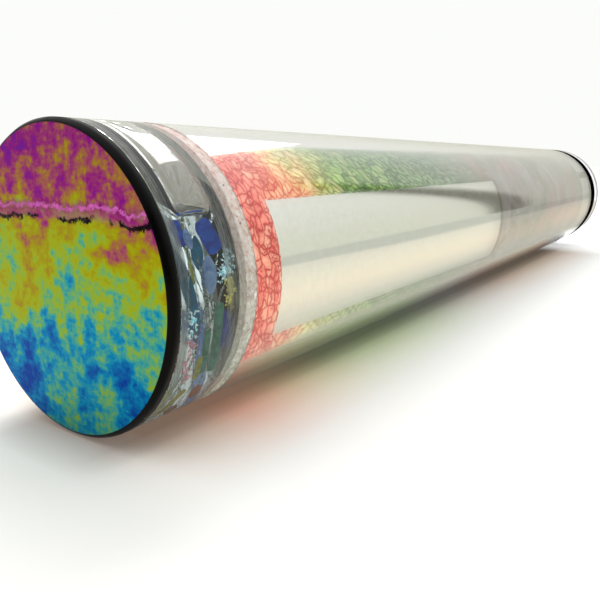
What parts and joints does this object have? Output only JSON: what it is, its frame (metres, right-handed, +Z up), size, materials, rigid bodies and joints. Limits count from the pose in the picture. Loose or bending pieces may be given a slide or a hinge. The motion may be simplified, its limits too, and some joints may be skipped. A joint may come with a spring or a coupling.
{
  "type": "kaleidoscope",
  "caption": "Clear round-barrel kaleidoscope with a liquid-filled object cell, an interference-coloured end disc, a three-mirror prism and a marbled film lining with a window.",
  "frame": {"origin": "under the middle of the barrel, on the surface that it lies on", "axes": "+X along the barrel towards the eyepiece, +Z up, -Y towards the side with the open window in the film"},
  "size_m": [0.313, 0.0508, 0.0508],
  "materials": {
    "interference_face": "black glass with a mottled interference coating on its face",
    "clear_acrylic": "polished clear acrylic",
    "clear_liquid": "thick clear liquid",
    "adhesive": "whitish glittery adhesive",
    "cobalt_glass": "cobalt glass chips",
    "periwinkle_glass": "milky periwinkle glass",
    "teal_glass": "teal glass",
    "green_glass": "green glass rod",
    "olive_glass": "olive yellow glass",
    "clear_glass": "clear twisted ribbon",
    "dichroic_flake": "dichroic flakes",
    "yellow_glass": "yellow flakes",
    "rose_plastic": "rose curls",
    "amber_glass": "amber glass drops",
    "tinted_film": "translucent marbled film, coral to green to grey",
    "mirror": "silvered glass strip",
    "silver_tape": "thin silver tape",
    "silvered_liner": "bright silvered tube",
    "white_foam": "white foam",
    "black_acrylic": "black acrylic"
  },
  "bodies": {
    "barrel": {"dichroic_disc": "interference_face", "cell_front_plate": "clear_acrylic", "cell_ring": "clear_acrylic", "fill_plug": "clear_acrylic", "cell_rear_plate": "clear_acrylic", "seal_bead": "adhesive", "barrel_tube": "clear_acrylic", "film_lining": "tinted_film", "silver_liner": "silvered_liner", "mirror_top": "mirror", "mirror_near": "mirror", "mirror_far": "mirror", "seam_tape_near": "silver_tape", "seam_tape_bottom": "silver_tape", "seam_tape_far": "silver_tape", "mirror_pads": "white_foam", "eyepiece_collar": "black_acrylic", "eye_lens": "clear_glass", "eyepiece_block": "clear_acrylic"},
    "cell_contents": {"cell_liquid": "clear_liquid", "cobalt_chips": "cobalt_glass", "periwinkle_petals": "periwinkle_glass", "teal_petals": "teal_glass", "green_rods": "green_glass", "olive_strands": "olive_glass", "clear_twists": "clear_glass", "dichroic_flakes": "dichroic_flake", "yellow_flakes": "yellow_glass", "rose_curls": "rose_plastic", "amber_drops": "amber_glass"}
  },
  "joints": [
    {"name": "contents_swirl", "type": "hinge", "parent": "barrel", "child": "cell_contents", "pos_m": [-0.146, 0, 0.0254], "axis": [1, 0, 0], "continuous": true}
  ]
}
